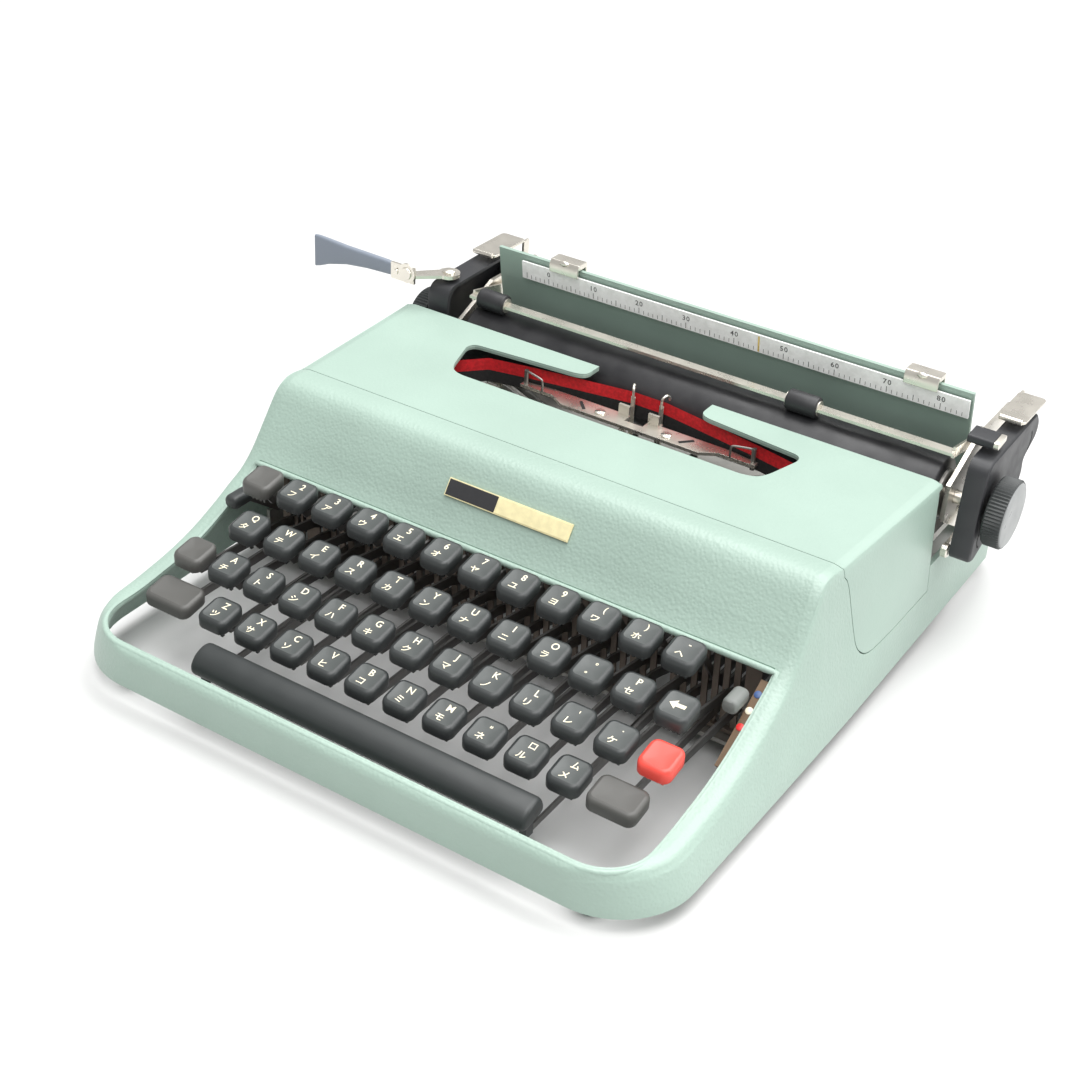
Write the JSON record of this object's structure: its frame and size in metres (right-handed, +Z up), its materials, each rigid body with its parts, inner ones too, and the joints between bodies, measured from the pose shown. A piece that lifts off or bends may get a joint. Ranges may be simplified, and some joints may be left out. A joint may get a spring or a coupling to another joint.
{
  "type": "portable typewriter",
  "caption": "Low portable typewriter with a four-row keyboard, lift-off top cover, type basket, sliding carriage with platen, paper bail and return lever.",
  "frame": {"origin": "centre of the bounding box in plan, on the table", "axes": "+X to the typist's right, +Y away from the typist, +Z up"},
  "size_m": [0.3686, 0.329, 0.115],
  "materials": {
    "pale_green_enamel": "baked enamel with a fine leathery grain",
    "ivory_plastic": "matte",
    "black_rubber": "smooth, slightly worn",
    "grey_steel": "plain steel",
    "blackened_steel": "blackened",
    "nickel": "satin nickel plate",
    "charcoal_plastic": "fine satin",
    "taupe_plastic": "fine satin",
    "coral_plastic": "fine satin",
    "grey_plastic": "fine satin",
    "brown_paint": "matt paint",
    "inked_ribbon": "woven, inked"
  },
  "bodies": {
    "machine": {"body_shell": "pale_green_enamel", "nameplate": "ivory_plastic", "foot_front_left": "black_rubber", "foot_front_right": "black_rubber", "foot_rear_left": "black_rubber", "foot_rear_right": "black_rubber", "chassis_frame": "grey_steel", "key_comb": "blackened_steel", "key_pivot_rod": "nickel", "color_dot_plate": "brown_paint", "carriage_rail": "nickel", "type_guide": "nickel", "ribbon": "inked_ribbon"},
    "cover": {"top_cover": "pale_green_enamel"},
    "key_column_01": {"key_column_01": "charcoal_plastic"},
    "key_column_02": {"key_column_02": "charcoal_plastic"},
    "key_column_03": {"key_column_03": "charcoal_plastic"},
    "key_column_04": {"key_column_04": "charcoal_plastic"},
    "key_column_05": {"key_column_05": "charcoal_plastic"},
    "key_column_06": {"key_column_06": "charcoal_plastic"},
    "key_column_07": {"key_column_07": "charcoal_plastic"},
    "key_column_08": {"key_column_08": "charcoal_plastic"},
    "key_column_09": {"key_column_09": "charcoal_plastic"},
    "key_column_10": {"key_column_10": "charcoal_plastic"},
    "key_column_11": {"key_column_11": "charcoal_plastic"},
    "margin_release_key": {"margin_release_key": "taupe_plastic"},
    "backspace_key": {"backspace_key": "charcoal_plastic"},
    "tab_key": {"tab_key": "coral_plastic"},
    "shift_key_left": {"shift_key_left": "taupe_plastic"},
    "shift_key_right": {"shift_key_right": "taupe_plastic"},
    "shift_lock_key": {"shift_lock_key": "taupe_plastic"},
    "space_bar": {"space_bar": "charcoal_plastic"},
    "ribbon_color_lever": {"ribbon_color_lever": "grey_plastic"},
    "tab_set_lever": {"tab_set_lever": "charcoal_plastic"},
    "type_basket": {"type_segment": "grey_steel", "typebar_fan_left": "blackened_steel", "typebar_fan_right": "blackened_steel"},
    "working_typebar": {"working_typebar": "nickel"},
    "ribbon_vibrator": {"ribbon_vibrator": "nickel"},
    "spool_left": {"ribbon_spool_left": "blackened_steel"},
    "spool_right": {"ribbon_spool_right": "blackened_steel"},
    "mainspring_drum": {"mainspring_drum": "grey_steel"},
    "carriage": {"carriage_frame": "grey_steel", "end_cover_left": "charcoal_plastic", "end_cover_right": "charcoal_plastic", "paper_table": "pale_green_enamel", "margin_scale": "ivory_plastic"},
    "platen_roller": {"platen": "black_rubber", "platen_knob_left": "charcoal_plastic", "platen_knob_right": "charcoal_plastic"},
    "bail": {"paper_bail": "nickel"},
    "bail_roller_left": {"bail_roller_left": "black_rubber"},
    "bail_roller_right": {"bail_roller_right": "black_rubber"},
    "return_lever": {"return_lever": "nickel"},
    "margin_stop_left": {"margin_stop_left": "nickel"},
    "margin_stop_right": {"margin_stop_right": "nickel"},
    "paper_release_lever": {"paper_release_lever": "charcoal_plastic"},
    "line_space_lever": {"line_space_lever": "nickel"},
    "carriage_release_left": {"carriage_release_left": "nickel"},
    "carriage_release_right": {"carriage_release_right": "nickel"}
  },
  "joints": [
    {"name": "cover_lift", "type": "slide", "parent": "machine", "child": "cover", "axis": [0, 0, -1], "range_m": [-0.04, 0]},
    {"name": "key_column_01_press", "type": "hinge", "parent": "machine", "child": "key_column_01", "pos_m": [-0.0778, 0.0365, 0.02], "axis": [1, 0, 0], "range_deg": [0, 4.2], "stiffness_Nm_per_rad": 1.2, "springref_deg": -6.88},
    {"name": "key_column_02_press", "type": "hinge", "parent": "machine", "child": "key_column_02", "pos_m": [-0.0588, 0.0365, 0.02], "axis": [1, 0, 0], "range_deg": [0, 4.2], "stiffness_Nm_per_rad": 1.2, "springref_deg": -6.88},
    {"name": "key_column_03_press", "type": "hinge", "parent": "machine", "child": "key_column_03", "pos_m": [-0.0398, 0.0365, 0.02], "axis": [1, 0, 0], "range_deg": [0, 4.2], "stiffness_Nm_per_rad": 1.2, "springref_deg": -6.88},
    {"name": "key_column_04_press", "type": "hinge", "parent": "machine", "child": "key_column_04", "pos_m": [-0.0208, 0.0365, 0.02], "axis": [1, 0, 0], "range_deg": [0, 4.2], "stiffness_Nm_per_rad": 1.2, "springref_deg": -6.88},
    {"name": "key_column_05_press", "type": "hinge", "parent": "machine", "child": "key_column_05", "pos_m": [-0.0018, 0.0365, 0.02], "axis": [1, 0, 0], "range_deg": [0, 4.2], "stiffness_Nm_per_rad": 1.2, "springref_deg": -6.88},
    {"name": "key_column_06_press", "type": "hinge", "parent": "machine", "child": "key_column_06", "pos_m": [0.0172, 0.0365, 0.02], "axis": [1, 0, 0], "range_deg": [0, 4.2], "stiffness_Nm_per_rad": 1.2, "springref_deg": -6.88},
    {"name": "key_column_07_press", "type": "hinge", "parent": "machine", "child": "key_column_07", "pos_m": [0.0362, 0.0365, 0.02], "axis": [1, 0, 0], "range_deg": [0, 4.2], "stiffness_Nm_per_rad": 1.2, "springref_deg": -6.88},
    {"name": "key_column_08_press", "type": "hinge", "parent": "machine", "child": "key_column_08", "pos_m": [0.0552, 0.0365, 0.02], "axis": [1, 0, 0], "range_deg": [0, 4.2], "stiffness_Nm_per_rad": 1.2, "springref_deg": -6.88},
    {"name": "key_column_09_press", "type": "hinge", "parent": "machine", "child": "key_column_09", "pos_m": [0.0742, 0.0365, 0.02], "axis": [1, 0, 0], "range_deg": [0, 4.2], "stiffness_Nm_per_rad": 1.2, "springref_deg": -6.88},
    {"name": "key_column_10_press", "type": "hinge", "parent": "machine", "child": "key_column_10", "pos_m": [0.0932, 0.0365, 0.02], "axis": [1, 0, 0], "range_deg": [0, 4.2], "stiffness_Nm_per_rad": 1.2, "springref_deg": -6.88},
    {"name": "key_column_11_press", "type": "hinge", "parent": "machine", "child": "key_column_11", "pos_m": [0.1122, 0.0365, 0.02], "axis": [1, 0, 0], "range_deg": [0, 4.2], "stiffness_Nm_per_rad": 1.2, "springref_deg": -6.88},
    {"name": "margin_release_key_press", "type": "hinge", "parent": "machine", "child": "margin_release_key", "pos_m": [-0.09445, 0.0365, 0.02], "axis": [1, 0, 0], "range_deg": [0, 4.2], "stiffness_Nm_per_rad": 1.2, "springref_deg": -6.88},
    {"name": "backspace_key_press", "type": "hinge", "parent": "machine", "child": "backspace_key", "pos_m": [0.12405, 0.0365, 0.02], "axis": [1, 0, 0], "range_deg": [0, 4.2], "stiffness_Nm_per_rad": 1.2, "springref_deg": -6.88},
    {"name": "tab_key_press", "type": "hinge", "parent": "machine", "child": "tab_key", "pos_m": [0.1288, 0.0365, 0.02], "axis": [1, 0, 0], "range_deg": [0, 4.2], "stiffness_Nm_per_rad": 1.2, "springref_deg": -6.88},
    {"name": "shift_key_left_press", "type": "hinge", "parent": "machine", "child": "shift_key_left", "pos_m": [-0.0978, 0.0365, 0.02], "axis": [1, 0, 0], "range_deg": [0, 4.2], "stiffness_Nm_per_rad": 1.2, "springref_deg": -6.88},
    {"name": "shift_key_right_press", "type": "hinge", "parent": "machine", "child": "shift_key_right", "pos_m": [0.1193, 0.0365, 0.02], "axis": [1, 0, 0], "range_deg": [0, 4.2], "stiffness_Nm_per_rad": 1.2, "springref_deg": -6.88},
    {"name": "shift_lock_key_press", "type": "hinge", "parent": "machine", "child": "shift_lock_key", "pos_m": [-0.1016, 0.0365, 0.02], "axis": [1, 0, 0], "range_deg": [0, 4.2], "stiffness_Nm_per_rad": 1.2, "springref_deg": -6.88},
    {"name": "space_bar_press", "type": "hinge", "parent": "machine", "child": "space_bar", "pos_m": [0.0148, -0.0495, 0.0122], "axis": [1, 0, 0], "range_deg": [0, 4.6], "stiffness_Nm_per_rad": 1.2, "springref_deg": -6.88},
    {"name": "ribbon_color_turn", "type": "hinge", "parent": "machine", "child": "ribbon_color_lever", "pos_m": [0.139, -0.0435, 0.03], "axis": [1, 0, 0], "range_deg": [0, 16]},
    {"name": "tab_set_turn", "type": "hinge", "parent": "machine", "child": "tab_set_lever", "pos_m": [-0.1094, -0.0435, 0.03], "axis": [1, 0, 0], "range_deg": [-6, 6], "stiffness_Nm_per_rad": 0.2},
    {"name": "basket_shift", "type": "slide", "parent": "machine", "child": "type_basket", "axis": [0, 0, 1], "range_m": [-0.0059, 0], "stiffness_N_per_m": 600, "springref_m": 0.012},
    {"name": "typebar_swing", "type": "hinge", "parent": "type_basket", "child": "working_typebar", "pos_m": [0.0148, 0.0515, 0.03], "axis": [1, 0, 0], "range_deg": [-97, 0]},
    {"name": "vibrator_lift", "type": "slide", "parent": "machine", "child": "ribbon_vibrator", "axis": [0, 0, 1], "range_m": [0, 0.009]},
    {"name": "spool_left_turn", "type": "hinge", "parent": "machine", "child": "spool_left", "pos_m": [-0.0952, 0.0245, 0.069], "axis": [0, 0, 1], "continuous": true},
    {"name": "spool_right_turn", "type": "hinge", "parent": "machine", "child": "spool_right", "pos_m": [0.1248, 0.0245, 0.069], "axis": [0, 0, 1], "continuous": true},
    {"name": "carriage_travel", "type": "slide", "parent": "machine", "child": "carriage", "axis": [1, 0, 0], "range_m": [-0.105, 0.085]},
    {"name": "drum_turn", "type": "hinge", "parent": "machine", "child": "mainspring_drum", "pos_m": [-0.0752, 0.1355, 0.033], "axis": [0, 1, 0], "continuous": true},
    {"name": "platen_turn", "type": "hinge", "parent": "carriage", "child": "platen_roller", "pos_m": [0.0148, 0.0905, 0.0705], "axis": [1, 0, 0], "continuous": true},
    {"name": "bail_lift", "type": "hinge", "parent": "carriage", "child": "bail", "pos_m": [0.0148, 0.1165, 0.086], "axis": [1, 0, 0], "range_deg": [-28, 0]},
    {"name": "bail_roller_left_spin", "type": "hinge", "parent": "bail", "child": "bail_roller_left", "pos_m": [-0.0842, 0.0885, 0.0917], "axis": [1, 0, 0], "continuous": true},
    {"name": "bail_roller_right_spin", "type": "hinge", "parent": "bail", "child": "bail_roller_right", "pos_m": [0.0828, 0.0885, 0.0917], "axis": [1, 0, 0], "continuous": true},
    {"name": "return_lever_swing", "type": "hinge", "parent": "carriage", "child": "return_lever", "pos_m": [-0.1112, 0.0885, 0.0986], "axis": [0, 0, 1], "range_deg": [0, 35], "stiffness_Nm_per_rad": 0.3, "springref_deg": -11.46},
    {"name": "margin_stop_left_slide", "type": "slide", "parent": "carriage", "child": "margin_stop_left", "axis": [1, 0, 0], "range_m": [-0.012, 0.05]},
    {"name": "margin_stop_right_slide", "type": "slide", "parent": "carriage", "child": "margin_stop_right", "axis": [1, 0, 0], "range_m": [-0.05, 0.008]},
    {"name": "paper_release_turn", "type": "hinge", "parent": "carriage", "child": "paper_release_lever", "pos_m": [0.1611, 0.1205, 0.084], "axis": [1, 0, 0], "range_deg": [-15, 0]},
    {"name": "line_space_turn", "type": "hinge", "parent": "carriage", "child": "line_space_lever", "pos_m": [0.1611, 0.1085, 0.056], "axis": [1, 0, 0], "range_deg": [-8, 0]},
    {"name": "carriage_release_left_press", "type": "hinge", "parent": "carriage", "child": "carriage_release_left", "pos_m": [-0.1034, 0.1455, 0.087], "axis": [1, 0, 0], "range_deg": [0, 3.5], "stiffness_Nm_per_rad": 0.5, "springref_deg": -2.86},
    {"name": "carriage_release_right_press", "type": "hinge", "parent": "carriage", "child": "carriage_release_right", "pos_m": [0.161, 0.1455, 0.087], "axis": [1, 0, 0], "range_deg": [0, 3.5], "stiffness_Nm_per_rad": 0.5, "springref_deg": -2.86}
  ],
  "couplings": [
    {"joint": "shift_key_left_press", "follows": "basket_shift", "rad_per_m": -12.4},
    {"joint": "shift_key_right_press", "follows": "basket_shift", "rad_per_m": -12.4},
    {"joint": "shift_lock_key_press", "follows": "basket_shift", "rad_per_m": -12.4},
    {"joint": "typebar_swing", "follows": "key_column_06_press", "ratio": -23},
    {"joint": "vibrator_lift", "follows": "key_column_06_press", "m_per_rad": 0.12005},
    {"joint": "spool_right_turn", "follows": "spool_left_turn", "ratio": 1},
    {"joint": "drum_turn", "follows": "carriage_travel", "rad_per_m": 70}
  ]
}
